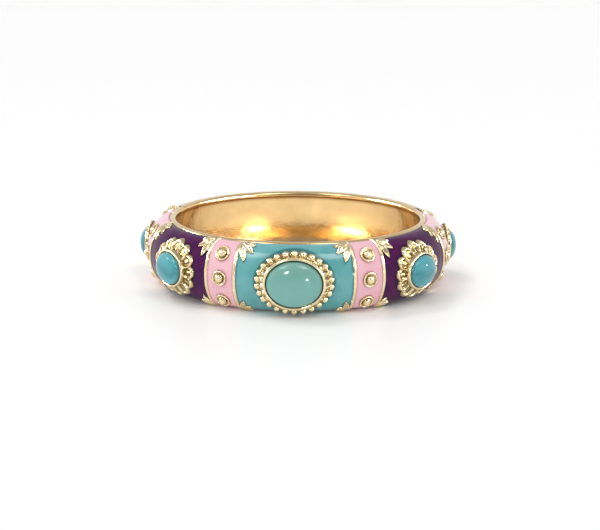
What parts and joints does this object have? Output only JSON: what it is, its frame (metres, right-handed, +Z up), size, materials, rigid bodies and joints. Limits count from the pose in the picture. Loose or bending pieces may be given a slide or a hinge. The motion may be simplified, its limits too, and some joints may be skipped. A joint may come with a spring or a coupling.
{
  "type": "hinged enamel bangle bracelet",
  "caption": "Round hinged bangle in gilt metal with turquoise, pink and purple enamel cells, cabochon settings, scalloped flowers and a plain back gate.",
  "frame": {"origin": "centre of the footprint, on the surface that the lower rim rests on", "axes": "+Z up along the axis of the bangle, front panel towards -Y, hinge towards -X, clasp towards +X"},
  "size_m": [0.0752, 0.0706, 0.0152],
  "materials": {
    "gilt_metal": "polished gold plate over cast brass",
    "turquoise_enamel": "glossy turquoise enamel",
    "pink_enamel": "glossy pink enamel",
    "purple_enamel": "glossy deep purple enamel",
    "aqua_cabochon": "polished milky aqua resin",
    "teal_cabochon": "polished teal resin with a silky band"
  },
  "bodies": {
    "front_half": {"front_frame": "gilt_metal", "hinge_pin": "gilt_metal", "enamel_front": "turquoise_enamel", "enamel_pink_inner_left": "pink_enamel", "enamel_pink_inner_right": "pink_enamel", "enamel_pink_outer_left": "pink_enamel", "enamel_pink_outer_right": "pink_enamel", "enamel_purple_left": "purple_enamel", "enamel_purple_right": "purple_enamel", "cabochon_front": "aqua_cabochon", "cabochon_flower_left": "teal_cabochon", "cabochon_flower_right": "teal_cabochon", "cabochon_side_left": "teal_cabochon", "cabochon_side_right": "teal_cabochon"},
    "gate": {"back_gate": "gilt_metal", "clasp_tongue": "gilt_metal"}
  },
  "joints": [
    {"name": "gate_hinge", "type": "hinge", "parent": "front_half", "child": "gate", "pos_m": [-0.03042, 0.01279, 0.0076], "axis": [0, 0, 1], "range_deg": [0, 70]}
  ]
}
